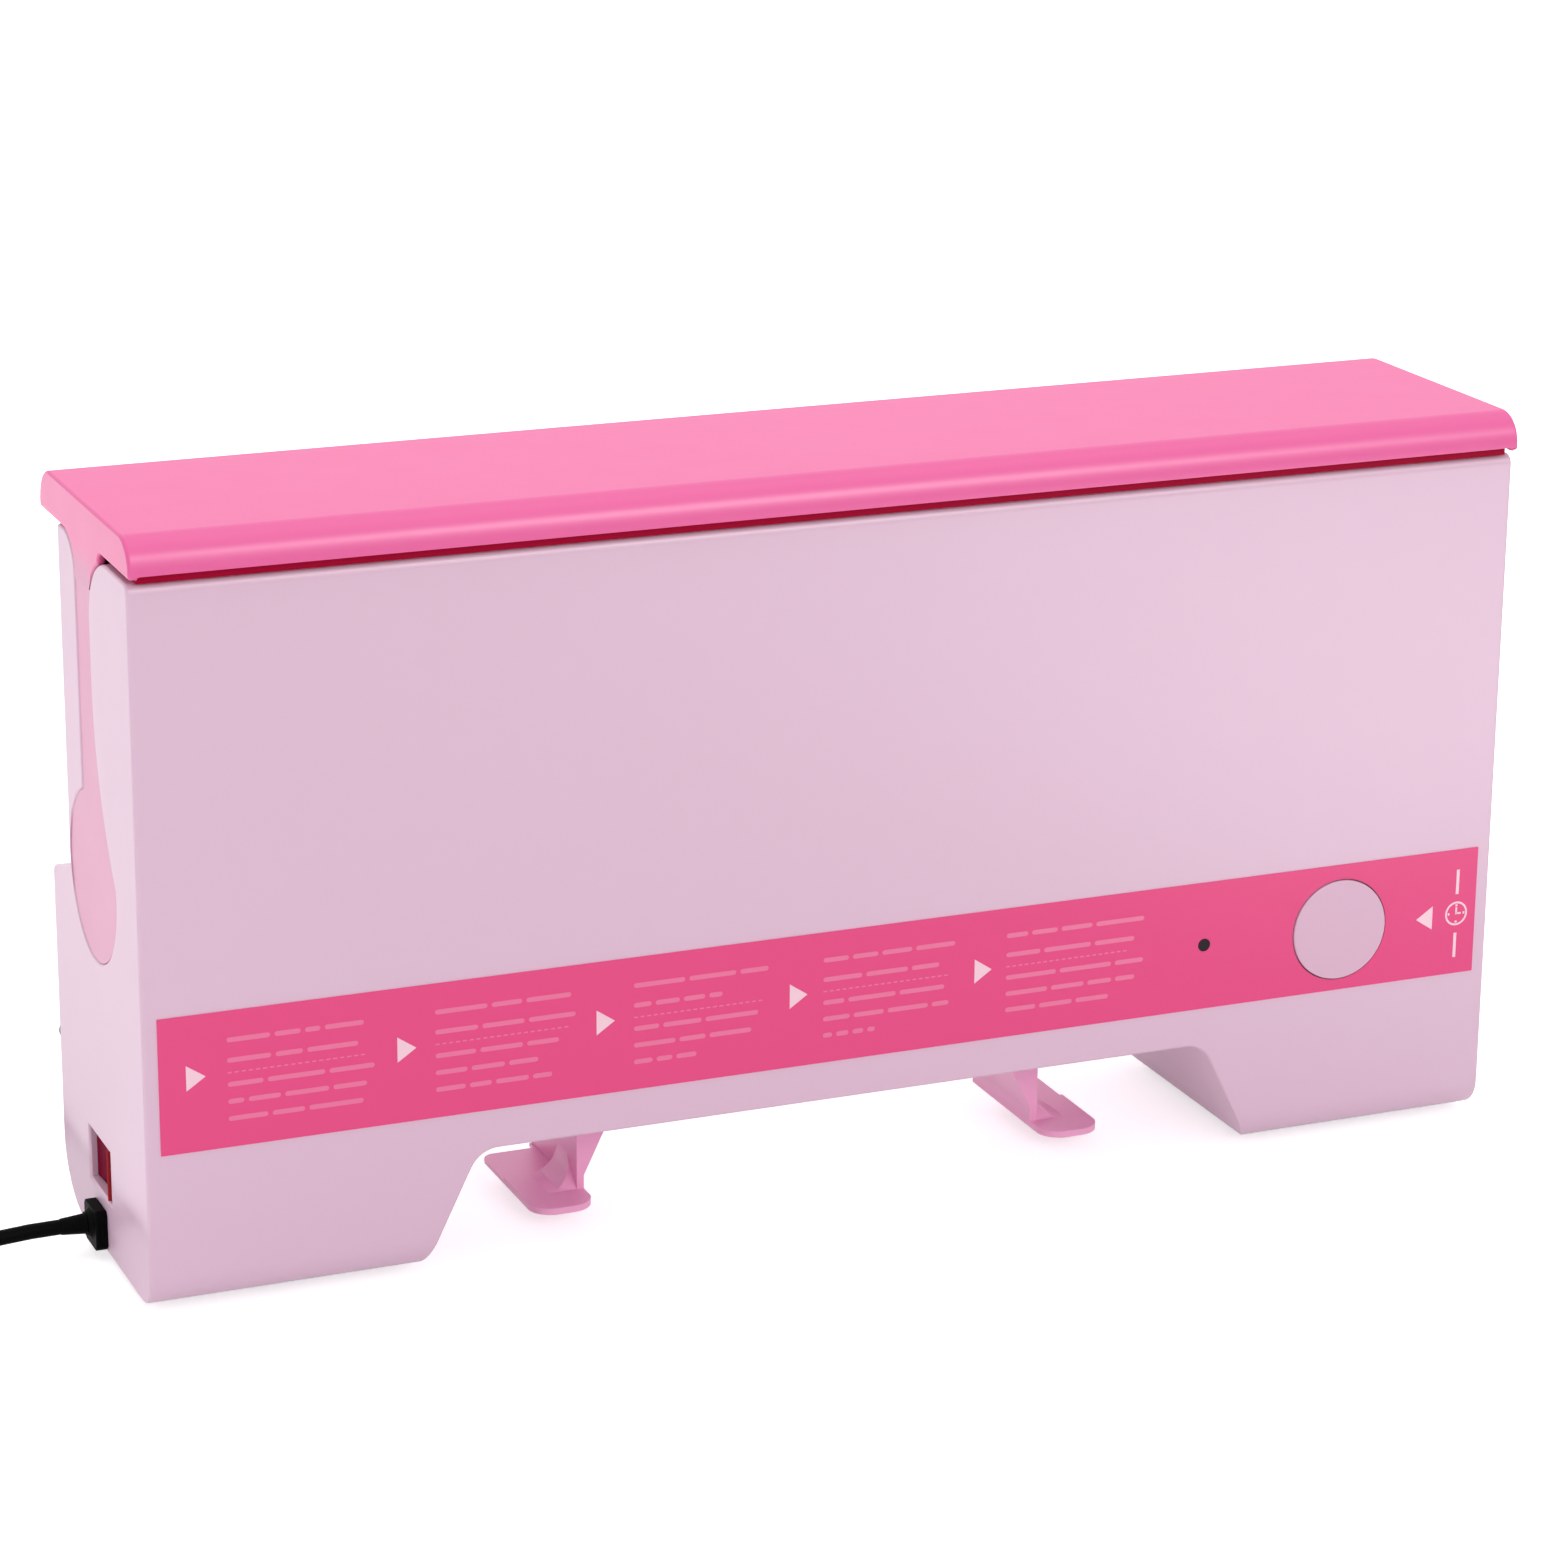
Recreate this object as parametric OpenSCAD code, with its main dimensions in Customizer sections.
// Thermal book binder: a slim desk machine that melts the glue in a book's spine.
// X runs along the machine, Y from its front to its back and Z up. The origin is on
// the table, under the middle of the machine. Lengths are in millimetres, angles in degrees.

/* [Housing] */
// Length of the machine
body_len = 420; // [410:5:440]
// Height of the housing's top edge above its underside
body_top = 206.8; // [204:0.2:214]
// Thickness of the moulded walls
wall = 3; // [2.6:0.1:3.4]
// Depth of the housing at its base
base_depth = 93; // [92:0.5:98]
// Height at which the base's slope meets the upper back
hump_top = 107.8; // [106:0.2:110]
// Drop of the slope from there to the back of the base
hump_drop = 6.5; // [4:0.5:8]
// Rounding of the front's bottom edge
front_r = 9; // [5:0.5:12]
// Rounding of the back's bottom edge
rear_r = 20; // [14:1:24]
// Rounding of the other long edges
edge_r = 3; // [2:0.25:4]

/* [Underside arch] */
// Height of the arch between the two legs
arch_top = 34; // [30:0.5:36]
// Half of the arch's width at the floor
arch_half = 131; // [128:1:136]
// Half of the arch's width at its top
arch_half_top = 114; // [110:1:116]
// Rounding of the arch's upper corners
arch_r = 9; // [4:0.5:12]
// Rounding of the legs' inner lower corners
leg_r = 4; // [2:0.5:6]

/* [Slot] */
// Depth of the housing in front of the slot
slot_front = 41; // [40:0.5:42]
// Width of the slot that a book's spine drops into
slot_gap = 14; // [13:0.5:15]
// Depth of the upper back behind the slot
panel_depth = 17.6; // [17.6:0.2:19]
// Flare of the slot's mouth on the front side
mouth_front_r = 20; // [16:0.5:21]
// Flare of the slot's mouth on the back side
mouth_rear_r = 11; // [9:0.5:12]
// Height at which the mouldings' lips end inside the slot
lip_bottom = 176; // [170:1:180]
// Radius of the round chamber at the slot's foot
bulb_r = 24.5; // [24:0.25:24.5]
// Height of the chamber's middle
bulb_z = 112; // [111:0.5:113]
// Distance of the chamber's middle from the front
bulb_y = 47; // [46.5:0.25:47]
// Height at which the end opening starts to widen towards the chamber
shoulder_z = 170; // [168:1:172]
// Radius of that widening curve
shoulder_r = 91.6; // [88:0.2:94]
// Recess of the end plates behind the housing's ends
plate_recess = 0.3; // [0.2:0.1:1.4]
// Thickness of the duct's walls and end flanges
duct_wall = 2; // [1.6:0.1:2.4]

/* [Lid] */
// Height of the lid's top above the housing's top
lid_rise = 12.6; // [11.2:0.2:17.2]
// Overhang of the lid in front of the housing
lid_front = 3; // [2:0.25:4]
// Distance of the lid's back edge from the housing's front
lid_back = 91.5; // [90.5:0.25:92]
// Gap between the lid and the housing along the front
lid_gap_front = 2; // [1.5:0.1:2.5]
// Gap between the lid and the housing over the back
lid_gap = 0.4; // [0.3:0.05:0.6]
// Thickness of the lid's shell
lid_wall = 2.5; // [2:0.1:3]
// Height by which the front's lower edge is cut back between the lid's ends
lid_relief = 0.8; // [0.2:0.1:1]
// Rounding of the lid's front top edge
lid_front_r = 9; // [7:0.5:10]
// Rounding of the lid's back top edge
lid_rear_r = 11; // [9:0.5:11]
// Height at which the lid's end tongues stop inside the slot's mouth
tongue_bottom = 196; // [195:0.5:198]
// Set-back of the liner from the lid's front
liner_back = 15; // [10:1:18]
// Thickness of the liner
liner_t = 2; // [1.5:0.25:2.5]

/* [Hinge] */
// Distance of the hinge line from the housing's front
hinge_y = 80; // [79.5:0.25:81]
// Depth of the hinge line below the housing's top edge
hinge_drop = 4.3; // [4.2:0.1:4.6]
// Distance of each hinge from the machine's ends
hinge_inset = 60; // [40:5:110]
// Radius of the hinge's eyes
eye_r = 4; // [3.5:0.1:4.2]
// Radius of the hinge pins
pin_r = 1.5; // [1.25:0.05:1.75]
// Width of the lid's knuckle
knuckle_w = 14; // [10:1:18]
// Width of each bracket ear
ear_w = 6; // [4:0.5:8]

/* [Front controls] */
// Height of the label's lower edge
label_bottom = 45.8; // [44:0.2:48]
// Height of the label
label_h = 39.6; // [36:0.2:42]
// Margin between the label's ends and the housing's ends
label_margin = 4.3; // [3:0.1:6]
// Distance of the timer button from the machine's right end
button_inset = 51.3; // [50:0.1:55]
// Height of the timer button's middle
button_z = 65; // [64:0.5:66]
// Radius of the timer button
button_r = 15.5; // [15:0.25:16.5]
// How far the timer button stands proud
button_proud = 0.8; // [0.4:0.1:1.2]
// Travel of the timer button
button_travel = 1.5; // [1:0.1:1.8]
// Distance of the indicator lamp from the machine's right end
lamp_inset = 97; // [94:0.5:99]
// Height of the indicator lamp's middle
lamp_z = 65.9; // [65:0.1:67]
// Radius of the indicator lamp's lens
lamp_r = 1.9; // [1.5:0.1:2.4]

/* [Power side] */
// Distance of the power switch from the front
switch_y = 51.25; // [50:0.25:53]
// Height of the power switch
switch_z = 24.5; // [24:0.25:26]
// Length of the switch opening
switch_len = 23.5; // [23:0.25:24.5]
// Height of the switch opening
switch_h = 16; // [15.5:0.25:17]
// Tilt of the rocker to either side
rocker_tilt = 7; // [6:0.5:9]
// Height of the cord's exit above the housing's underside
cord_z = 7.5; // [7.5:0.1:8.4]
// Diameter of the mains lead
cord_d = 4.4; // [4:0.1:4.6]

/* [Feet and hooks] */
// Radius of the rubber feet
foot_r = 7; // [5:0.5:8]
// How far the feet stand proud of the underside
foot_proud = 2; // [1.5:0.1:2.5]
// Radius of the rear bumpers
bumper_r = 3.75; // [3:0.25:4.5]
// How far the rear bumpers stand proud
bumper_proud = 2.5; // [2:0.1:3]
// Distance of the hooks' inner edge from the middle of the machine
hook_x = 72; // [66:1:80]
// Width of the hooks' flanges
hook_w = 19; // [15:0.5:20]
// Distance of the hooks' flanges from the front
hook_front = 18.5; // [16:0.5:22]
// Length of the hooks' flanges
hook_len = 48.5; // [42:0.5:52]
// Height of the flanges above the housing's underside
hook_z = 2.75; // [1:0.25:4]
// Thickness of the flanges
hook_t = 2; // [1.5:0.25:2.5]

/* [Hidden] */
$fn = 64;
eps = 0.01;

// Clearances
seat_gap = 0.3;      // between mouldings that seat on each other
run_gap = 0.4;       // round the button, the rocker and the tongues
pin_gap = 0.06;      // radial clearance of pins and of the button's stem

// Derived places
mid_depth = (base_depth + bumper_proud - lid_front) / 2;
end_x = body_len / 2;
hinge_x = end_x - hinge_inset;
button_x = end_x - button_inset;
lamp_x = end_x - lamp_inset;
lid_top = body_top + lid_rise;
inner_x = end_x - wall;
slot_rear = slot_front + slot_gap;
slot_mid = slot_front + slot_gap / 2;
panel_back = slot_rear + panel_depth;
hump_edge = hump_top - hump_drop;
hump_a = atan(hump_drop / (base_depth - panel_back));
sill_z = arch_top + wall;
hinge_z = body_top - hinge_drop;
lid_under = body_top + lid_gap;
lid_lip = body_top + lid_gap_front;
plate_x = end_x - plate_recess;

// Heater parts, from the channel's floor outwards
channel_wall = 2.9;
channel_floor = 108;
channel_h = 16;
channel_half = slot_gap / 2 + channel_wall;
channel_end = inner_x - duct_wall - seat_gap - 6;
strip_t = 1.5;
clamp_t = 1.5;
shield_r = 21;
shield_t = 1;
shield_top = 120;
insulator_w = 12;
insulator_x = [-channel_end + 2, -0.36 * channel_end, 0.36 * channel_end, channel_end - 2];

// Board and the parts on it
board_y = 22;
board_t = 1.6;
board_span = 100;
board_right = inner_x - 15;
board_left = board_right - board_span;
board_bottom = label_bottom - 2;
board_top = label_bottom + label_h + 0.6;
board_back = board_y + board_t;
post_x = [board_left + 5, board_right - 5];
post_z = [board_bottom + 5, board_top - 5];
relay_box = [board_left + 11, board_bottom + 4.7, 19, 15.5, 15];
module_box = [board_left + 34, board_bottom + 5.2, 24, 20, 15.5];
terminal_box = [board_left + 12, board_bottom + 27.2, 20, 9, 10];
terminal_pitch = 5;
capacitor_at = [board_left + 66, board_bottom + 13.2];
beeper_at = [board_left + 82, board_bottom + 16.2];
lamp_legs = 1.27;

// Button stack behind the front wall
button_t = 4;
flange_t = 1.5;
flange_y = wall + seat_gap;
guide_floor = 12;
guide_t = 2;
guide_in_r = button_r + 2.4;
guide_out_r = guide_in_r + 2;
stem_r = 4;
stem_end = guide_floor + guide_t + 2.2;
plunger_y = stem_end + button_travel + seat_gap;

// Lower screws that hold the rear cover
cover_post_x = [-inner_x + 10, -52.5, 52.5, inner_x - 10];
cover_post_z = 50;
cover_post_r = 4;
cover_screw_r = 1.5;
upper_boss_z = 160;

// Cord route beyond the bushing, points chosen by hand
bushing_y = mid_depth + 5;
bushing_flange = 3.5;
flange_half_y = 6.6;
flange_half_z = 6;
flange_chamfer = 1.2;
flange_drop = 0.7;
boot_len = 8.8;
cord_x = -end_x - bushing_flange - boot_len;
lead_route = [
  [cord_x, 5, cord_z + foot_proud], [-231, 5, 9.4], [-240, 5, 8.8], [-249, 5, 7.4], [-258, 5, 5.6],
  [-267, 5, 4.2], [-276, 5, 3.4], [-285, 5, 3.2]
];
coil_x = -285;
coil_y = 33.4;
coil_mid_r = 24;
coil_low = 1;
coil_rows = 4;
coil_cols = 3;
tail_route = [
  [-285, 61.8, 16.4], [-276, 62.6, 16.2], [-267, 64.6, 15], [-259, 68, 12.6], [-252, 72.4, 9.8],
  [-246, 77.6, 7.8], [-241.2, 83.6, 7.2], [-238, 90, 7.2]
];
plug_at = [-238, 90, 7.2];
plug_len = 34;

// Small details
label_t = 0.3;
bushing_r = 4.3;
head_r = 2.8;
head_sink = 1.6;
plate_gap = 0.15;
upper_boss_x = inner_x - 3.5;
vent_n = 8;
vent_pitch = 15;
vent_w = 3;
vent_h = 30;
vent_z = 68;
bumper_x = end_x - bumper_r - 0.4;
bumper_z = 49.7;
foot_sink = 1;
foot_inset = 38;
foot_places = [for (s = [-1, 1], y = [19, base_depth - 29]) [s * (end_x - foot_inset), y]];
bracket_half = knuckle_w / 2 + ear_w + 9;
bracket_screw_x = knuckle_w / 2 + ear_w + 5;
bracket_screw_z = body_top - 16;
hook_wedge_y = hook_front + 11.5;
hook_wedge_end = hook_front + hook_len + 4;
hook_step_y = hook_front + 28;
hook_step = 0.8;
hook_wall = 2.2;
hook_flare = 12.2;
hook_tab_x = [hook_x - 9, hook_x + 1];
hook_tab_y = [hook_wedge_y + 6, hook_wedge_y + 30];
hook_fillet_r = 9;
hook_front_r = 7;
hook_rear_r = 4;
spring_r = 9;
spring_wire = 0.45;
spring_turns = 4;
strip_half = 8;
clamp_half = 9;
switch_depth = 19;
switch_rim = 2.5;
tab_len = 8;
tab_pitch = 8;
bracket_t = 2;
screw_head = 1.6;
wire_r = 1;

// Heater and lid places that depend on the above
channel_top = channel_floor + channel_h;
duct_x = inner_x - duct_wall - 2 * seat_gap;
strip_x = channel_end - 10;
strip_z = channel_floor - strip_t - 0.1;
clamp_z = strip_z - clamp_t - 0.1;
clamp_screws = [for (share = [-0.8, -0.48, -0.2, 0.2, 0.48, 0.8]) share * strip_x];
shield_x = duct_x;
cradle_x = [-end_x + 60, -20, hook_x + 8];
cradle_w = 10;
sensor_x = 14;
switch_face = -inner_x + 0.2;
rocker_x = -end_x + 10;
rocker_out = 9.2;
rocker_half = 10.4;
lid_step = slot_front - 12;
liner_z = lid_under + 0.1;
liner_x = end_x - lid_wall - seat_gap;
liner_lip_y = lid_wall + seat_gap - lid_front;
liner_lip_z = liner_z - 0.3;
lid_post_x = [-end_x + 25, end_x - 25];
lid_post_y = [24, hinge_y - 10];
lid_screw_len = 8;

// ---------------------------------------------------------------- helpers

function unit(v) = v / norm(v);

// The sliver between a corner and the arc that rounds it; a and b are its neighbours
module corner(p, a, b, r) {
  u = unit(a - p);
  v = unit(b - p);
  half = acos(u * v) / 2;
  mid = p + unit(u + v) * r / sin(half);
  difference() {
    polygon([p, p + u * r / tan(half), mid, p + v * r / tan(half)]);
    translate(mid) circle(r = r);
  }
}

// Housing drawings start at its front face and underside; this sets them in the frame
module seated() {
  translate([0, -mid_depth, foot_proud]) children();
}

// Extrudes an outline in Y and Z along X, between two places
module along_x(x0, x1) {
  translate([x0, 0, 0]) rotate([90, 0, 90]) linear_extrude(x1 - x0) children();
}

// Extrudes an outline in X and Z along Y, between two places
module along_y(y0, y1) {
  translate([0, y1, 0]) rotate([90, 0, 0]) linear_extrude(y1 - y0) children();
}

module rod_x(x0, x1, y, z, r) {
  translate([x0, y, z]) rotate([0, 90, 0]) cylinder(h = x1 - x0, r = r);
}

module rod_y(y0, y1, x, z, r) {
  translate([x, y0, z]) rotate([-90, 0, 0]) cylinder(h = y1 - y0, r = r);
}

module rod_z(z0, z1, x, y, r) {
  translate([x, y, z0]) cylinder(h = z1 - z0, r = r);
}

module block(lo, hi) {
  translate(lo) cube(hi - lo);
}

// Rectangle in a drawing between two corners
module pane(lo, hi) {
  translate(lo) square(hi - lo);
}

// ---------------------------------------------------------------- outlines

// Corners of the housing's end view, set in from the outside by i
function profile_points(i) = [
  [i, i],
  [base_depth - i, i],
  [base_depth - i, hump_edge + i * (tan(hump_a) - 1 / cos(hump_a))],
  [panel_back - i, hump_top + i * (tan(hump_a) - 1 / cos(hump_a))],
  [panel_back - i, body_top - i],
  [i, body_top - i]
];

// The housing's end view, set in by i
module body_profile(i = 0) {
  p = profile_points(i);
  difference() {
    polygon(p);
    corner(p[0], p[5], p[1], front_r - i);
    corner(p[1], p[0], p[2], rear_r - i);
    if (i < edge_r - 1) {
      corner(p[2], p[1], p[3], edge_r - i);
      corner(p[4], p[3], p[5], (edge_r - i) / 2);
      corner(p[5], p[4], p[0], edge_r - i);
    }
  }
}

// The end opening: the slot with its flared mouth above a round chamber, grown by g
module keyhole(g = 0) {
  difference() {
    union() {
      pane([slot_front - g, bulb_z], [slot_rear + g, body_top + 2]);
      translate([bulb_y, bulb_z]) circle(r = bulb_r + g);
      polygon([
        [slot_front - g, shoulder_z], [slot_front + 1, shoulder_z],
        [bulb_y, bulb_z], [bulb_y - bulb_r - g, bulb_z]
      ]);
    }
    translate([slot_front - shoulder_r, shoulder_z]) circle(r = shoulder_r - g);
  }
  mouth(g);
}

// The flared mouth of the slot, grown by g
module mouth(g = 0) {
  front = [slot_front - mouth_front_r, body_top - mouth_front_r];
  rear = [slot_rear + mouth_rear_r, body_top - mouth_rear_r];
  difference() {
    pane(front, [slot_front + 1, body_top + 2]);
    translate(front) circle(r = mouth_front_r - g);
  }
  difference() {
    pane([slot_rear - 1, rear[1]], [rear[0], body_top + 2]);
    translate(rear) circle(r = mouth_rear_r - g);
  }
}

// Solid block of the front top, with the slot's flare, set in by i
module front_top(i = 0) {
  p = [slot_front - i, body_top - i];
  difference() {
    pane([-1 + 2 * i, lip_bottom], p);
    corner(p, [p[0], 0], [0, p[1]], mouth_front_r - i);
  }
}

// Arch under the housing, opened by g
module arch(g = 0) {
  slope = (arch_half - arch_half_top) / arch_top;
  side = g * sqrt(1 + slope * slope);
  top_x = arch_half_top + side - slope * g;
  low_x = arch_half + side;
  p = [[low_x + slope * 5, -5], [top_x, arch_top + g], [-top_x, arch_top + g], [-low_x - slope * 5, -5]];
  difference() {
    polygon(p);
    corner(p[1], p[0], p[2], arch_r + g);
    corner(p[2], p[1], p[3], arch_r + g);
  }
}

// ---------------------------------------------------------------- casing

module front_housing() {
  color([0.91, 0.8, 0.88]) seated() difference() {
    union() {
      difference() {
        along_x(-end_x, end_x) body_profile();
        housing_cavity();
        along_y(-1, base_depth + 1) {
          arch();
          for (s = [0, 1]) mirror([s, 0]) leg_rounding();
        }
      }
      housing_posts();
    }
    for (s = [-1, 1])
      along_x(s * (inner_x + wall / 2) - wall / 2 - 1, s * (inner_x + wall / 2) + wall / 2 + 1)
        keyhole();
    housing_holes();
  }
}

// Space inside the housing, open to the back above the sill
module housing_cavity() {
  along_x(-inner_x, inner_x) {
    pane([wall, sill_z], [base_depth + 5, lip_bottom]);
    pane([slot_front, lip_bottom - 1], [base_depth + 5, body_top + 5]);
    difference() {
      pane([slot_front - mouth_front_r, lip_bottom], [slot_front + 1, body_top + 5]);
      front_top();
    }
    front_top(wall);
  }
  intersection() {
    along_x(-inner_x, inner_x) body_profile(wall);
    difference() {
      along_y(wall, base_depth) pane([-inner_x, wall], [inner_x, sill_z + 1]);
      along_y(0, base_depth + 1) arch(wall);
    }
  }
}

// Rounds the inner lower edge of a leg
module leg_rounding() {
  corner([arch_half, 0], [arch_half + 20, 0], [arch_half_top, arch_top], leg_r);
}

// Posts that carry the board and take the cover's screws
module housing_posts() {
  for (x = post_x, z = post_z) rod_y(wall / 2, board_y - eps, x, z, 3);
  for (x = cover_post_x) rod_y(wall / 2, base_depth - wall - seat_gap, x, cover_post_z, cover_post_r);
  for (s = [-1, 1])
    rod_y(panel_back - wall - 10, panel_back - wall - seat_gap, s * upper_boss_x, upper_boss_z, 3.8);
}

module housing_holes() {
  rod_y(-1, wall + 1, button_x, button_z, button_r + run_gap);
  rod_y(-1, wall + 1, lamp_x, lamp_z, lamp_r + 0.1);
  block(
    [-end_x - 1, switch_y - switch_len / 2, switch_z - switch_h / 2],
    [-inner_x + 1, switch_y + switch_len / 2, switch_z + switch_h / 2]
  );
  rod_x(-end_x - 1, -inner_x + 1, bushing_y, cord_z, bushing_r + 0.1);
  for (x = post_x, z = post_z) rod_y(board_y - 8, board_y + 1, x, z, 1.1);
  for (x = cover_post_x) rod_y(base_depth - 20, base_depth, x, cover_post_z, 1.2);
  for (s = [-1, 1]) rod_y(panel_back - wall - 9, panel_back, s * upper_boss_x, upper_boss_z, 1.2);
  for (p = foot_places) rod_z(-1, foot_sink, p[0], p[1], foot_r + 0.1);
  for (s = [0, 1]) mirror([s, 0, 0]) block(
    [hook_tab_x[0] - plate_gap, hook_tab_y[0] - plate_gap, arch_top - 1],
    [hook_tab_x[1] + plate_gap, hook_tab_y[1] + plate_gap, sill_z + 1]
  );
}

module rear_cover() {
  color([0.9, 0.79, 0.87]) seated() difference() {
    along_x(-inner_x + seat_gap, inner_x - seat_gap) cover_outline();
    for (x = cover_post_x) countersink(base_depth, x, cover_post_z);
    for (s = [-1, 1]) countersink(panel_back, s * upper_boss_x, upper_boss_z);
    for (i = [-vent_n : vent_n]) if (abs(i) > 1) vent(i * vent_pitch);
    for (s = [-1, 1], t = [-1, 1])
      rod_y(panel_back - wall - 1, panel_back + 1, s * hinge_x + t * bracket_screw_x, bracket_screw_z, 1.2);
  }
}

// Outline of the back moulding
module cover_outline() {
  out = profile_points(0);
  in = profile_points(wall);
  lip = [slot_rear, body_top];
  lip_in = [slot_rear + wall, body_top - wall];
  difference() {
    polygon([
      [base_depth, sill_z + seat_gap], out[2], out[3], out[4], lip, [lip[0], lip_bottom],
      [lip_in[0], lip_bottom], lip_in, in[4], in[3], in[2], [base_depth - wall, sill_z + seat_gap]
    ]);
    corner(out[2], out[1], out[3], edge_r);
    corner(out[4], out[3], lip, edge_r / 2);
    corner(lip, [lip[0], 0], out[4], mouth_rear_r);
  }
  corner(lip_in, [lip_in[0], 0], in[4], mouth_rear_r - wall);
}

// Upright vent slot through the back of the base
module vent(x) {
  block(
    [x - vent_w / 2, base_depth - wall - 1, vent_z - vent_h / 2],
    [x + vent_w / 2, base_depth + 1, vent_z + vent_h / 2]
  );
}

// Screw hole with a sunk head
module countersink(y, x, z) {
  rod_y(y - wall - 1, y + 1, x, z, cover_screw_r + 0.2);
  rod_y(y - head_sink, y + 1, x, z, head_r + 0.2);
}

// Both end plates of the duct fill the keyhole openings; s is the side
module duct_end(s) {
  color([0.93, 0.7, 0.82]) seated() mirror([s < 0 ? 1 : 0, 0, 0]) {
    along_x(inner_x - seat_gap / 2, plate_x) intersection() {
      keyhole(-plate_gap);
      pane([0, 0], [base_depth, tongue_bottom - seat_gap]);
    }
    along_x(inner_x - duct_wall - seat_gap, inner_x - seat_gap / 3) intersection() {
      keyhole(duct_wall);
      body_profile(wall + seat_gap);
      pane([0, 0], [base_depth, lip_bottom - seat_gap]);
    }
  }
}

module left_duct_end() duct_end(-1);

module right_duct_end() duct_end(1);

// ---------------------------------------------------------------- heated duct

module duct_front_wall() {
  color([0.93, 0.7, 0.82]) seated() duct_panel(slot_front - duct_wall);
}

module duct_rear_wall() {
  color([0.93, 0.7, 0.82]) seated() duct_panel(slot_rear);
}

// Flat wall of the duct between the channel's rim and the mouldings' lips
module duct_panel(y) {
  block([-duct_x, y, channel_top + seat_gap], [duct_x, y + duct_wall, lip_bottom - seat_gap]);
}

module heater_channel() {
  color([0.78, 0.79, 0.8]) seated() difference() {
    along_x(-channel_end, channel_end) difference() {
      pane([slot_mid - channel_half, channel_floor], [slot_mid + channel_half, channel_top]);
      pane([slot_front, channel_floor + channel_wall], [slot_rear, channel_top + 1]);
    }
    for (x = clamp_screws) rod_z(channel_floor - 1, channel_floor + 2, x, slot_mid, 1.2);
  }
}

module heater_strip() {
  color([0.75, 0.35, 0.2]) seated() difference() {
    block(
      [-strip_x, slot_mid - strip_half, strip_z],
      [strip_x, slot_mid + strip_half, strip_z + strip_t]
    );
    for (x = clamp_screws) rod_z(strip_z - 1, strip_z + strip_t + 1, x, slot_mid, 2);
  }
}

module heater_clamp() {
  color([0.6, 0.62, 0.64]) seated() difference() {
    block([-strip_x, slot_mid - clamp_half, clamp_z], [strip_x, slot_mid + clamp_half, clamp_z + clamp_t]);
    for (x = clamp_screws) rod_z(clamp_z - 1, clamp_z + clamp_t + 1, x, slot_mid, 1.5);
  }
}

module heater_screws() {
  color([0.7, 0.71, 0.73]) seated() for (x = clamp_screws) {
    rod_z(clamp_z - screw_head, clamp_z - eps, x, slot_mid, 2.6);
    rod_z(clamp_z - 0.1, channel_floor + 1.8, x, slot_mid, 1.15);
  }
}

// Blocks that hold the channel in the middle of the shield
module channel_insulators() {
  color([0.86, 0.83, 0.74]) seated() for (x = insulator_x)
    along_x(x - insulator_w / 2, x + insulator_w / 2) difference() {
      translate([bulb_y, bulb_z]) circle(r = shield_r - shield_t - seat_gap);
      pane([0, shield_top - seat_gap], [base_depth, body_top]);
      pane(
        [slot_mid - channel_half - seat_gap / 2, channel_floor - seat_gap / 2],
        [slot_mid + channel_half + seat_gap / 2, body_top]
      );
      pane(
        [slot_mid - clamp_half - seat_gap, clamp_z - screw_head - seat_gap],
        [slot_mid + clamp_half + seat_gap, channel_floor]
      );
    }
}

module heat_shield() {
  color([0.72, 0.73, 0.75]) seated() along_x(-shield_x, shield_x) difference() {
    translate([bulb_y, bulb_z]) circle(r = shield_r);
    translate([bulb_y, bulb_z]) circle(r = shield_r - shield_t);
    pane([0, shield_top], [base_depth, body_top]);
  }
}

// Saddles that carry the shield on the arch
module shield_cradles() {
  color([0.9, 0.88, 0.84]) seated() for (x = cradle_x)
    along_x(x - cradle_w / 2, x + cradle_w / 2) difference() {
      pane([bulb_y - shield_r + 2, sill_z + eps], [bulb_y + shield_r - 2, bulb_z - 6]);
      translate([bulb_y, bulb_z]) circle(r = shield_r + seat_gap / 2);
      pane([bulb_y - 9, sill_z + 8], [bulb_y + 9, bulb_z - shield_r - 8]);
    }
}

module thermostat() {
  color([0.85, 0.82, 0.75]) seated() {
    rod_z(clamp_z - 4.2, clamp_z - 0.2, sensor_x, slot_mid, 6);
    rod_z(clamp_z - 5, clamp_z - 4.2, sensor_x, slot_mid, 4.5);
    for (s = [-1, 1]) {
      x = sensor_x + s * 3;
      block([x - 0.4, slot_mid - 3, clamp_z - 9], [x + 0.4, slot_mid + 3, clamp_z - 4.9]);
    }
  }
}

module thermal_fuse() {
  color([0.8, 0.8, 0.82]) seated() {
    rod_x(-sensor_x - 6, -sensor_x + 6, slot_mid, clamp_z - 2.4, 2.1);
    rod_x(-sensor_x - 13, -sensor_x + 13, slot_mid, clamp_z - 2.4, 0.5);
  }
}

// ---------------------------------------------------------------- control board

module control_board() {
  color([0.1, 0.42, 0.28]) seated() difference() {
    block([board_left, board_y, board_bottom], [board_right, board_back, board_top]);
    for (x = post_x, z = post_z) rod_y(board_y - 1, board_back + 1, x, z, 1.5);
    for (s = [-1, 1]) rod_y(board_y - 1, board_back + 1, lamp_x + s * lamp_legs, lamp_z, 0.5);
  }
}

module mains_relay() {
  color([0.15, 0.3, 0.6]) seated() on_board(relay_box);
}

module power_module() {
  color([0.12, 0.12, 0.13]) seated() on_board(module_box);
}

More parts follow.
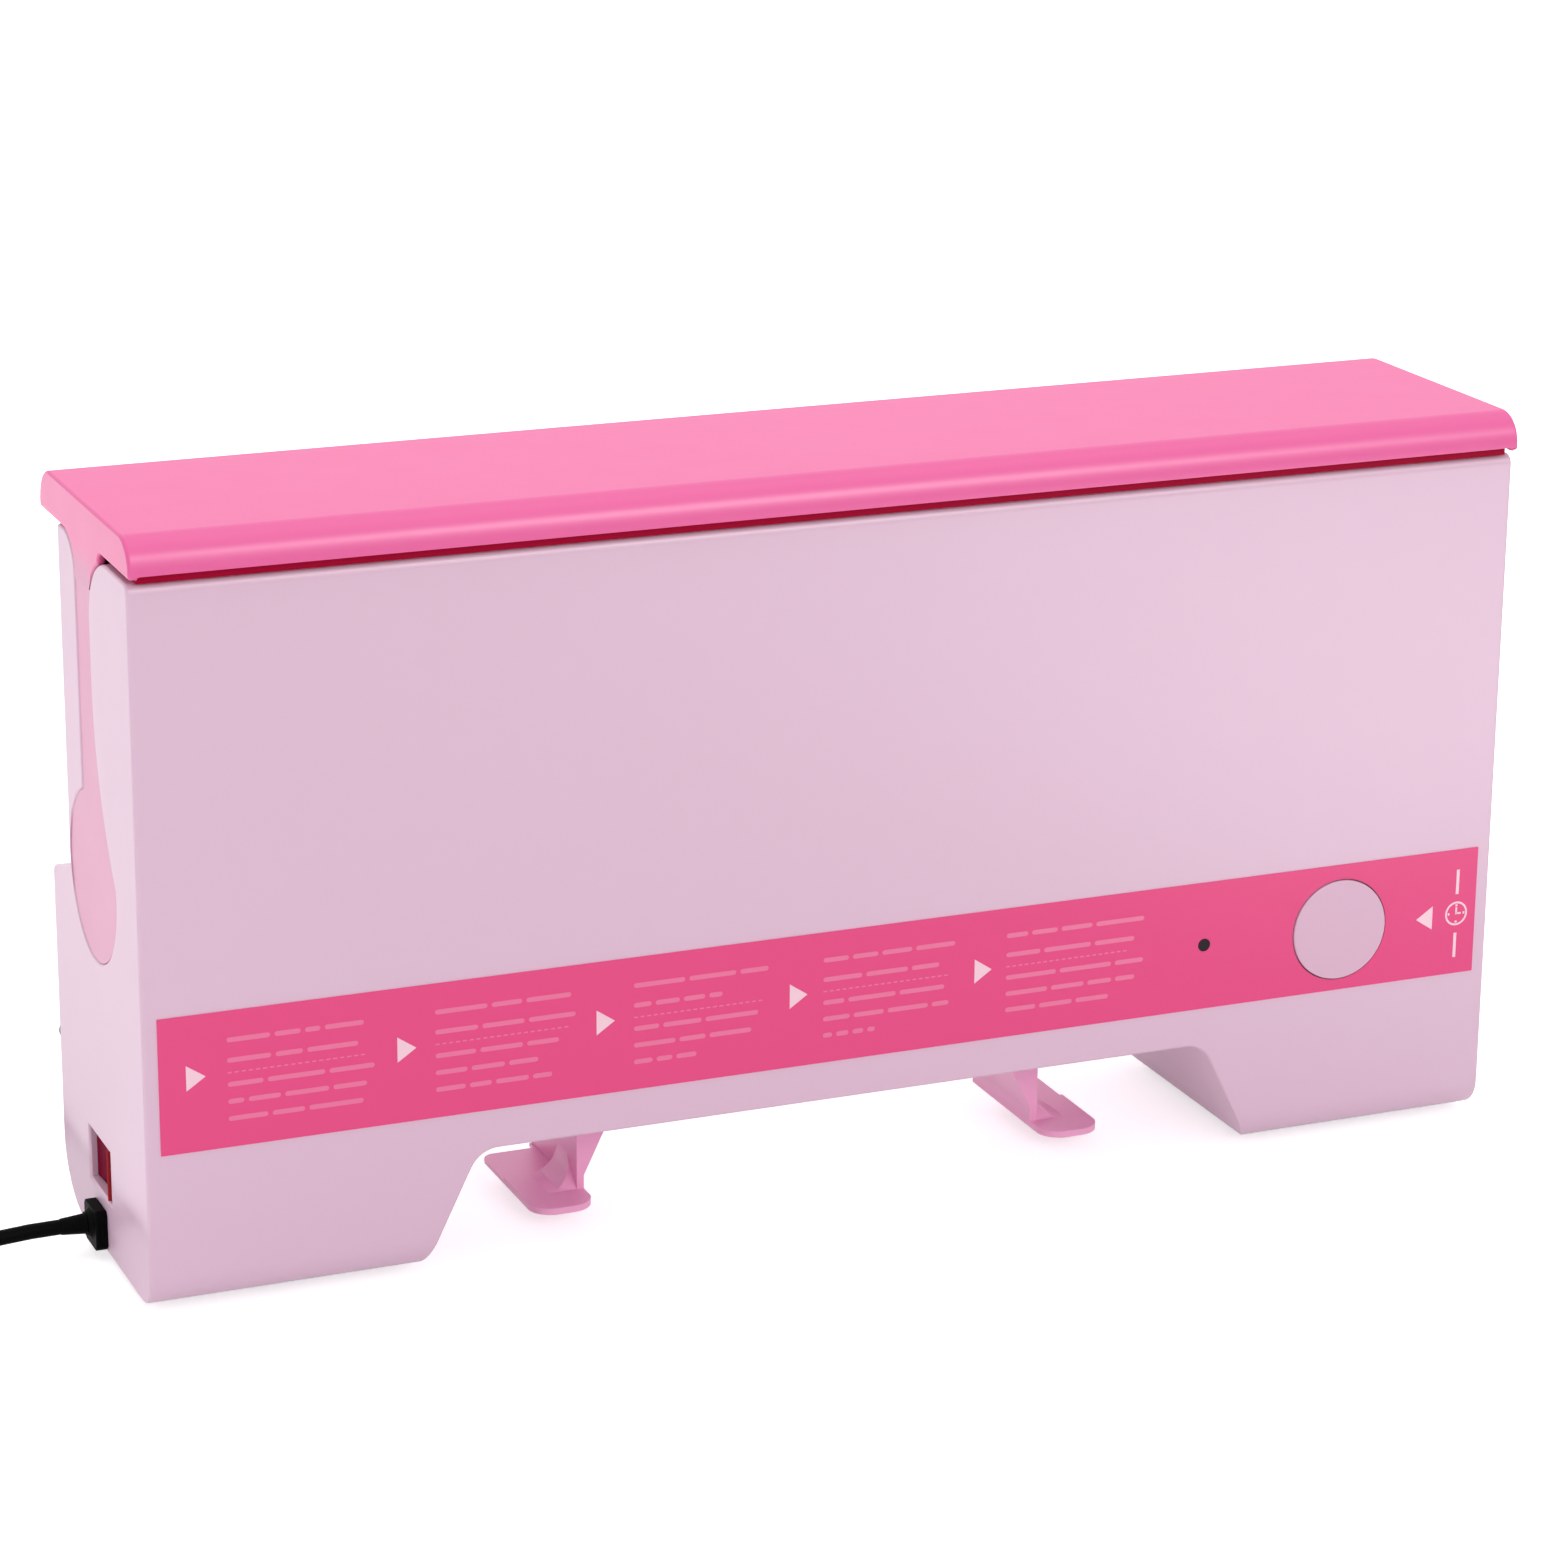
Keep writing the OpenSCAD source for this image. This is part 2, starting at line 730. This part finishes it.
// Box on the back of the board: b is its left, bottom, width, height and depth
module on_board(b) {
  block([b[0], board_back, b[1]], [b[0] + b[2], board_back + b[4], b[1] + b[3]]);
}

module board_capacitor() {
  color([0.2, 0.2, 0.35]) seated() {
    rod_y(board_back, board_back + 14, capacitor_at[0], capacitor_at[1], 5);
    rod_y(board_back + 14 - eps, board_back + 14.4, capacitor_at[0], capacitor_at[1], 4.2);
  }
}

module beeper() {
  color([0.1, 0.1, 0.1]) seated() difference() {
    rod_y(board_back, board_back + 9, beeper_at[0], beeper_at[1], 6);
    rod_y(board_back + 7, board_back + 10, beeper_at[0], beeper_at[1], 1.2);
  }
}

module terminal_block() {
  color([0.2, 0.55, 0.3]) seated() difference() {
    on_board(terminal_box);
    for (i = [0 : 3])
      rod_z(
        terminal_box[1] - 1, terminal_box[1] + terminal_box[3] - 1,
        terminal_box[0] + terminal_pitch * (i + 0.5), board_back + terminal_box[4] / 2, 1.6
      );
  }
}

module timer_switch() {
  color([0.18, 0.18, 0.2]) seated() {
    block([button_x - 3, plunger_y + 0.7, button_z - 3], [button_x + 3, board_y, button_z + 3]);
    rod_y(plunger_y, plunger_y + 0.75, button_x, button_z, 1.75);
  }
}

module indicator_lamp() {
  color([0.8, 0.2, 0.2]) seated() {
    rod_y(wall + 1.2, wall + 6, lamp_x, lamp_z, 1.5);
    rod_y(wall + 6 - eps, wall + 7, lamp_x, lamp_z, 1.9);
    for (s = [-1, 1]) rod_y(wall + 7 - eps, board_back + 0.5, lamp_x + s * lamp_legs, lamp_z, 0.3);
  }
}

module indicator_lens() {
  color([0.25, 0.12, 0.2]) seated() {
    rod_y(-0.4, wall + 0.9, lamp_x, lamp_z, lamp_r);
    rod_y(wall + 0.05, wall + 0.9, lamp_x, lamp_z, lamp_r + 0.8);
  }
}

module control_label() {
  color([0.91, 0.3, 0.52]) seated() difference() {
    block([-end_x + label_margin, -label_t, label_bottom], [end_x - label_margin, 0, label_bottom + label_h]);
    rod_y(-1, 1, button_x, button_z, button_r + run_gap);
    rod_y(-1, 1, lamp_x, lamp_z, lamp_r + 0.1);
  }
}

module timer_button() {
  color([0.93, 0.82, 0.89]) seated() {
    rod_y(-button_proud, flange_y + eps, button_x, button_z, button_r);
    rod_y(flange_y, flange_y + flange_t, button_x, button_z, button_r + 1.8);
    rod_y(flange_y + flange_t - eps, stem_end, button_x, button_z, stem_r);
  }
}

module button_spring() {
  start = flange_y + flange_t + 0.1 + spring_wire;
  rise = guide_floor - 0.1 - spring_wire - start;
  steps = spring_turns * 12;
  pts = [for (i = [0 : steps]) [
    button_x + spring_r * cos(30 * i), start + rise * i / steps, button_z + spring_r * sin(30 * i)
  ]];
  color([0.7, 0.7, 0.72]) seated()
    lead(pts, spring_wire, heading(pts, 0), heading(pts, steps), 6, [0, 1, 0]);
}

module button_guide() {
  color([0.85, 0.85, 0.86]) seated() difference() {
    rod_y(wall + eps, guide_floor + guide_t, button_x, button_z, guide_out_r);
    rod_y(wall - 1, guide_floor, button_x, button_z, guide_in_r);
    rod_y(guide_floor - 1, guide_floor + guide_t + 1, button_x, button_z, stem_r + pin_gap);
  }
}

// ---------------------------------------------------------------- power side

module power_switch_body() {
  half_y = switch_len / 2;
  half_z = switch_h / 2;
  color([0.1, 0.1, 0.1]) seated() difference() {
    block(
      [switch_face, switch_y - half_y - switch_rim, switch_z - half_z - switch_rim],
      [switch_face + switch_depth, switch_y + half_y + switch_rim, switch_z + half_z + switch_rim]
    );
    block(
      [switch_face - 1, switch_y - half_y - 0.5, switch_z - half_z],
      [switch_face + 14, switch_y + half_y + 0.5, switch_z + half_z]
    );
    rod_z(switch_z - half_z - 2, switch_z + half_z + 2, rocker_x, switch_y, pin_r + pin_gap);
  }
}

module switch_terminals() {
  back = switch_face + switch_depth;
  color([0.85, 0.72, 0.4]) seated() for (i = [-1 : 1]) {
    y = switch_y + i * tab_pitch;
    block([back, y - 2.4, switch_z - 0.4], [back + tab_len, y + 2.4, switch_z + 0.4]);
  }
}

// Rocker key, turned so that its front half stands out
module power_rocker() {
  color([0.75, 0.08, 0.12]) seated() translate([rocker_x, switch_y, 0]) rotate([0, 0, -rocker_tilt]) {
    translate([0, 0, switch_z - switch_h / 2 + run_gap]) linear_extrude(switch_h - 2 * run_gap)
      polygon([
        [-rocker_out, -rocker_half], [-rocker_out + 2.2, 0], [-rocker_out, rocker_half],
        [-3, rocker_half - 0.6], [4, 4], [4, -4], [-3, -rocker_half + 0.6]
      ]);
    rod_z(switch_z - switch_h / 2 - 1.6, switch_z + switch_h / 2 + 1.6, 0, 0, pin_r);
  }
}

// Insulated wire of radius r, whose bends are cut short by three radii on each side
module wire(pts, r) {
  m = len(pts);
  bend = 3 * r;
  route = [
    pts[0],
    for (i = [1 : m - 2]) each [
      pts[i] + bend * unit(pts[i - 1] - pts[i]), pts[i] + bend * unit(pts[i + 1] - pts[i])
    ],
    pts[m - 1]
  ];
  lead(route, r, heading(route, 0), heading(route, len(route) - 1), 8, [2, 1, 3]);
}

// Leads from the cord to the switch and from there to the board
module mains_wires() {
  tab_x = switch_face + switch_depth + tab_len + 0.2;
  board_y2 = board_back + terminal_box[4] / 2;
  wire_z = sill_z + wire_r + seat_gap;
  color([0.35, 0.25, 0.2]) seated() {
    for (i = [0, 1]) {
      y = switch_y - (1 - i) * (tab_pitch + 1.2);
      x = tab_x + 5 + 7 * i;
      riser_x = terminal_box[0] - 4 - 3.5 * i;
      front_y = 14 + 3 * i;
      z = terminal_box[1] + 3 + 3 * i;
      wire([
        [tab_x, y, switch_z], [x, y, switch_z], [x, front_y, wire_z], [riser_x, front_y, wire_z],
        [riser_x, board_y2, wire_z + 3], [riser_x, board_y2, z], [terminal_box[0] - 0.1, board_y2, z]
      ], wire_r);
    }
    for (i = [-1, 1]) {
      y = switch_y + i * tab_pitch + (i < 0 ? 1.2 : 0);
      wire([
        [-inner_x + 4.1, bushing_y + i * 1.6, cord_z], [tab_x + 7.6, bushing_y + i * 1.6, cord_z],
        [tab_x + 7.6, y, switch_z], [tab_x, y, switch_z]
      ], wire_r);
    }
  }
}

// Two leads from the board over the shield's rim to the heater strip
module heater_wires() {
  r = 0.7;
  rim_y = bulb_y - shield_r - 2;
  color([0.9, 0.9, 0.88]) seated() for (i = [1, 2]) {
    x = terminal_box[0] + terminal_pitch * (i + 0.5);
    wire([
      [x, board_back + terminal_box[4] / 2, terminal_box[1] + terminal_box[3] + 0.4],
      [x, rim_y, board_top + 4],
      [x, rim_y, shield_top + 2], [x, rim_y + 8, shield_top + 2], [x, rim_y + 10, strip_z + strip_t / 2],
      [x, slot_mid - strip_half - 0.1, strip_z + strip_t / 2]
    ], r);
  }
}

// Outline of the bushing's flange, depth across and height up, with its corners cut off
module bushing_plate() {
  a = [flange_half_y, flange_half_z];
  b = a - [flange_chamfer, flange_chamfer];
  polygon([
    [-a[0], -b[1]], [-b[0], -a[1]], [b[0], -a[1]], [a[0], -b[1]],
    [a[0], b[1]], [b[0], a[1]], [-b[0], a[1]], [-a[0], b[1]]
  ]);
}

module cord_bushing() {
  color([0.12, 0.12, 0.12]) seated() translate([0, bushing_y, cord_z]) {
    translate([-end_x - bushing_flange, 0, -flange_drop]) rotate([90, 0, 90])
      linear_extrude(bushing_flange - 0.05) bushing_plate();
    translate([-end_x - bushing_flange + 0.5, 0, 0]) rotate([0, -90, 0]) cylinder(h = 2, r1 = 5, r2 = 3.1);
    translate([-end_x - bushing_flange, 0, 0]) rotate([0, -90, 0])
      cylinder(h = boot_len, r1 = 3.1, r2 = cord_d / 2 + 0.15);
    translate([-end_x - 1, 0, 0]) rotate([0, 90, 0]) cylinder(h = 1 + wall + 4, r = bushing_r);
  }
}

// ---------------------------------------------------------------- mains lead

// Cross-section ring of the lead at p, square to the direction d
function ring(p, d, r, n, axis) =
  let (side = unit(cross(axis, d)), up = cross(unit(d), side))
  [for (k = [0 : n - 1]) p + r * (cos(360 * k / n) * side + sin(360 * k / n) * up)];

function heading(pts, i) = unit(pts[min(i + 1, len(pts) - 1)] - pts[max(i - 1, 0)]);

// Round tube of radius r through the points, with n sides, for a route that is never along axis;
// the end faces are square to first and last
module lead(pts, r, first, last, n = 10, axis = [0, 0, 1]) {
  m = len(pts);
  ways = [for (i = [0 : m - 1]) i == 0 ? first : i == m - 1 ? last : heading(pts, i)];
  rings = [for (i = [0 : m - 1]) ring(pts[i], ways[i], r, n, axis)];
  polyhedron(
    points = [for (q = rings) each q],
    faces = [
      [for (k = [0 : n - 1]) k],
      [for (k = [n - 1 : -1 : 0]) (m - 1) * n + k],
      for (i = [0 : m - 2], k = [0 : n - 1])
        [i * n + k, (i + 1) * n + k, (i + 1) * n + (k + 1) % n, i * n + (k + 1) % n]
    ]
  );
}

module cord_lead() {
  color([0.08, 0.08, 0.08]) lead(lead_route, cord_d / 2, [-1, 0, 0], [-1, 0, 0]);
}

// Outer shape of the wound part of the lead
module cord_coil() {
  half = coil_cols * cord_d / 2;
  color([0.09, 0.09, 0.09]) translate([coil_x, coil_y, coil_low]) rotate_extrude()
    translate([coil_mid_r - half, 0]) square([2 * half, coil_rows * cord_d]);
}

module cord_tail() {
  color([0.08, 0.08, 0.08]) lead(tail_route, cord_d / 2, [1, 0, 0], unit([0.42, 0.9, 0]));
}

// Band that holds the coil together on its far side
module cord_tie() {
  half = coil_cols * cord_d / 2;
  high = coil_rows * cord_d;
  color([0.15, 0.15, 0.16]) translate([coil_x - coil_mid_r, coil_y, coil_low]) difference() {
    block([-half - 1.1, -4, -0.9], [half + 1.7, 4, high + 1.1]);
    block([-half - 0.3, -5, -0.2], [half + 0.9, 5, high + 0.3]);
  }
}

// Plug body, lying flat beyond the coil; its cord end is at plug_at
module plug_body() {
  color([0.08, 0.08, 0.08]) translate(plug_at) rotate([0, 0, 65]) {
    rotate([0, 90, 0]) cylinder(h = 12, r1 = cord_d / 2 + 0.6, r2 = 4.6);
    hull() {
      translate([11, -8, -6]) cube([2, 16, 12]);
      translate([plug_len - 2, -11, -7]) cube([2, 22, 14]);
    }
  }
}

module plug_blades() {
  color([0.8, 0.75, 0.55]) translate(plug_at) rotate([0, 0, 65]) for (s = [-1, 1])
    block([plug_len, s * 6.35 - 0.76, -3.2], [plug_len + 17, s * 6.35 + 0.76, 3.2]);
}

// ---------------------------------------------------------------- hooks and feet

// Hook that the lead is wound on; the wedge hangs from the arch, the flange points outwards.
// Behind the fillet between them both are a little thinner.
module cord_hook(s) {
  out_x = hook_x + hook_wall;
  top_z = hook_z + hook_t;
  color([0.86, 0.5, 0.7]) seated() mirror([s < 0 ? 1 : 0, 0, 0]) {
    difference() {
      union() {
        hook_flange();
        along_y(hook_wedge_y, hook_wedge_end) polygon([
          [hook_x, hook_z + eps], [out_x, hook_z + eps], [out_x, arch_top],
          [hook_x - hook_flare, arch_top], [hook_x, hook_z + 6]
        ]);
      }
      along_y(hook_step_y, hook_wedge_end + 1)
        pane([out_x - hook_step, top_z - hook_step], [hook_x + hook_w + 1, arch_top + 1]);
    }
    difference() {
      along_y(hook_wedge_y, hook_step_y) translate([out_x, top_z]) difference() {
        translate([-eps, -eps]) square(hook_fillet_r);
        translate([hook_fillet_r, hook_fillet_r]) circle(r = hook_fillet_r);
      }
      translate([out_x, hook_wedge_y, top_z]) rotate([45, 0, 0]) cube(2 * hook_fillet_r);
    }
    block(
      [hook_tab_x[0], hook_tab_y[0], arch_top - eps],
      [hook_tab_x[1], hook_tab_y[1], sill_z + 1.5]
    );
  }
}

// Flat foot of a hook with three rounded corners
module hook_flange() {
  far_x = hook_x + hook_w;
  end_y = hook_front + hook_len;
  translate([0, 0, hook_z]) linear_extrude(hook_t) difference() {
    pane([hook_x, hook_front], [far_x, end_y]);
    corner([hook_x, hook_front], [far_x, hook_front], [hook_x, end_y], hook_front_r);
    corner([far_x, hook_front], [hook_x, hook_front], [far_x, end_y], hook_front_r);
    corner([far_x, end_y], [far_x, hook_front], [hook_x, end_y], hook_rear_r);
  }
}

module left_cord_hook() cord_hook(-1);

module right_cord_hook() cord_hook(1);

module rubber_feet() {
  color([0.13, 0.13, 0.13]) seated() for (p = foot_places) rod_z(-foot_proud, foot_sink, p[0], p[1], foot_r);
}

module rear_bumpers() {
  color([0.1, 0.1, 0.1]) seated() for (s = [-1, 1])
    rod_y(base_depth, base_depth + bumper_proud, s * bumper_x, bumper_z, bumper_r);
}

// ---------------------------------------------------------------- lid and hinge

// Two ears and a screwed plate at each hinge
module hinge_brackets() {
  color([0.75, 0.76, 0.78]) seated() for (x = [-hinge_x, hinge_x]) difference() {
    union() {
      block(
        [x - bracket_half, panel_back, bracket_screw_z - 5],
        [x + bracket_half, panel_back + bracket_t, body_top - 1]
      );
      for (s = [-1, 1]) {
        left = x + s * (knuckle_w / 2 + seat_gap + ear_w / 2) - ear_w / 2;
        rod_x(left, left + ear_w, hinge_y, hinge_z, eye_r);
        block([left, panel_back + 1, hinge_z - eye_r], [left + ear_w, hinge_y, hinge_z + eye_r - 0.5]);
      }
    }
    rod_x(x - bracket_half, x + bracket_half, hinge_y, hinge_z, pin_r + pin_gap);
    for (s = [-1, 1])
      rod_y(panel_back - 1, panel_back + bracket_t + 1, x + s * bracket_screw_x, bracket_screw_z, 1.7);
  }
}

module hinge_pins() {
  half = knuckle_w / 2 + seat_gap + ear_w;
  color([0.82, 0.83, 0.85]) seated() for (x = [-hinge_x, hinge_x]) {
    rod_x(x - half - 1.2, x + half, hinge_y, hinge_z, pin_r);
    rod_x(x - half - 1.2, x - half - 0.05, hinge_y, hinge_z, pin_r + 0.8);
  }
}

// End view of the lid
module lid_profile() {
  p = [
    [-lid_front, lid_lip], [-lid_front, lid_top], [lid_back, lid_top], [lid_back, lid_under],
    [lid_step, lid_under], [lid_step - 2, lid_lip]
  ];
  difference() {
    polygon(p);
    corner(p[1], p[0], p[2], lid_front_r);
    corner(p[2], p[1], p[3], lid_rear_r);
    corner(p[3], p[2], p[4], 1.2);
    corner(p[0], p[5], p[1], 0.8);
  }
}

module lid_shell() {
  color([0.96, 0.5, 0.7]) seated() {
    difference() {
      along_x(-end_x, end_x) lid_profile();
      along_x(-end_x + lid_wall, end_x - lid_wall) {
        lid_hollow();
        pane([-lid_front - 1, lid_lip - 1], [-lid_front + lid_wall + 1, lid_lip + lid_relief]);
      }
    }
    for (s = [0, 1]) mirror([s, 0, 0]) along_x(end_x - lid_wall, end_x) intersection() {
      mouth_filler();
      pane([lid_step, tongue_bottom], [slot_rear + mouth_rear_r, lid_under + 1]);
    }
    for (x = lid_post_x, y = lid_post_y) difference() {
      rod_z(liner_z + liner_t + 0.1, lid_top - 1, x, y, 3);
      rod_z(liner_z, liner_z + lid_screw_len + 1, x, y, 1.2);
    }
  }
}

// Space inside the lid's shell, open downwards
module lid_hollow() {
  a = [-lid_front + lid_wall, lid_top - lid_wall];
  b = [lid_back - lid_wall, lid_top - lid_wall];
  difference() {
    pane([a[0], lid_under - 5], b);
    corner(a, [a[0], 0], b, lid_front_r - lid_wall);
    corner(b, a, [b[0], 0], lid_rear_r - lid_wall);
  }
}

// Slot and mouth outline that the lid's tongues fill
module mouth_filler() {
  pane([slot_front + run_gap, tongue_bottom], [slot_rear - run_gap, lid_under + 1]);
  mouth(-run_gap);
}

module lid_liner() {
  color([0.8, 0.2, 0.45]) seated() difference() {
    union() {
      block(
        [-liner_x, -lid_front + liner_back, liner_z],
        [liner_x, lid_back - lid_wall - seat_gap, liner_z + liner_t]
      );
      block(
        [-liner_x, liner_lip_y, liner_lip_z],
        [liner_x, -lid_front + liner_back + 1, liner_z + liner_t]
      );
      block([-liner_x + 8, slot_front + 2.5, liner_z - 4], [liner_x - 8, slot_rear - 2.5, liner_z + eps]);
      for (x = [-hinge_x, hinge_x]) {
        rod_x(x - knuckle_w / 2, x + knuckle_w / 2, hinge_y, hinge_z, eye_r);
        block(
          [x - knuckle_w / 2, hinge_y - eye_r, hinge_z],
          [x + knuckle_w / 2, hinge_y + eye_r, liner_z + eps]
        );
      }
    }
    for (x = [-hinge_x, hinge_x])
      rod_x(x - knuckle_w, x + knuckle_w, hinge_y, hinge_z, pin_r + pin_gap);
    for (x = lid_post_x, y = lid_post_y) {
      rod_z(liner_z - 1, liner_z + liner_t + 1, x, y, cover_screw_r);
      rod_z(liner_z - 1, liner_z + 1.2, x, y, head_r);
    }
  }
}

// ---------------------------------------------------------------- screws

module lid_screws() {
  color([0.7, 0.71, 0.73]) seated() for (x = lid_post_x, y = lid_post_y) {
    rod_z(liner_z + 0.1, liner_z + 1.1, x, y, head_r - 0.2);
    rod_z(liner_z + 1, liner_z + lid_screw_len, x, y, 1.15);
  }
}

// Screws through the rear cover and the hinge brackets
module cover_screws() {
  color([0.7, 0.71, 0.73]) seated() {
    for (x = cover_post_x) cover_screw(base_depth, x, cover_post_z, 12);
    for (s = [-1, 1]) cover_screw(panel_back, s * upper_boss_x, upper_boss_z, 7);
    for (s = [-1, 1], t = [-1, 1]) {
      x = s * hinge_x + t * bracket_screw_x;
      rod_y(panel_back - wall, panel_back + bracket_t + 1, x, bracket_screw_z, 1.15);
      rod_y(panel_back + bracket_t + 0.02, panel_back + bracket_t + screw_head, x, bracket_screw_z, 2.6);
    }
  }
}

module cover_screw(y, x, z, reach) {
  difference() {
    rod_y(y - head_sink + 0.02, y - 0.1, x, z, head_r);
    block([x - 2, y - 0.9, z - 0.35], [x + 2, y, z + 0.35]);
    block([x - 0.35, y - 0.9, z - 2], [x + 0.35, y, z + 2]);
  }
  rod_y(y - head_sink - reach + wall, y - head_sink + 0.05, x, z, 1.15);
}

module board_screws() {
  color([0.8, 0.8, 0.82]) seated() for (x = post_x, z = post_z) {
    rod_y(board_back + 0.02, board_back + 1.8, x, z, 2.4);
    rod_y(board_y - 6, board_back + 0.1, x, z, 1.05);
  }
}

// ---------------------------------------------------------------- parts

front_housing();
rear_cover();
left_duct_end();
right_duct_end();
duct_front_wall();
duct_rear_wall();
heater_channel();
heater_strip();
heater_clamp();
heater_screws();
channel_insulators();
heat_shield();
shield_cradles();
thermostat();
thermal_fuse();
control_board();
mains_relay();
power_module();
board_capacitor();
beeper();
terminal_block();
timer_switch();
indicator_lamp();
indicator_lens();
control_label();
timer_button();
button_spring();
button_guide();
power_switch_body();
switch_terminals();
power_rocker();
mains_wires();
heater_wires();
cord_bushing();
cord_lead();
cord_coil();
cord_tail();
cord_tie();
plug_body();
plug_blades();
left_cord_hook();
right_cord_hook();
rubber_feet();
rear_bumpers();
hinge_brackets();
hinge_pins();
lid_shell();
lid_liner();
lid_screws();
cover_screws();
board_screws();
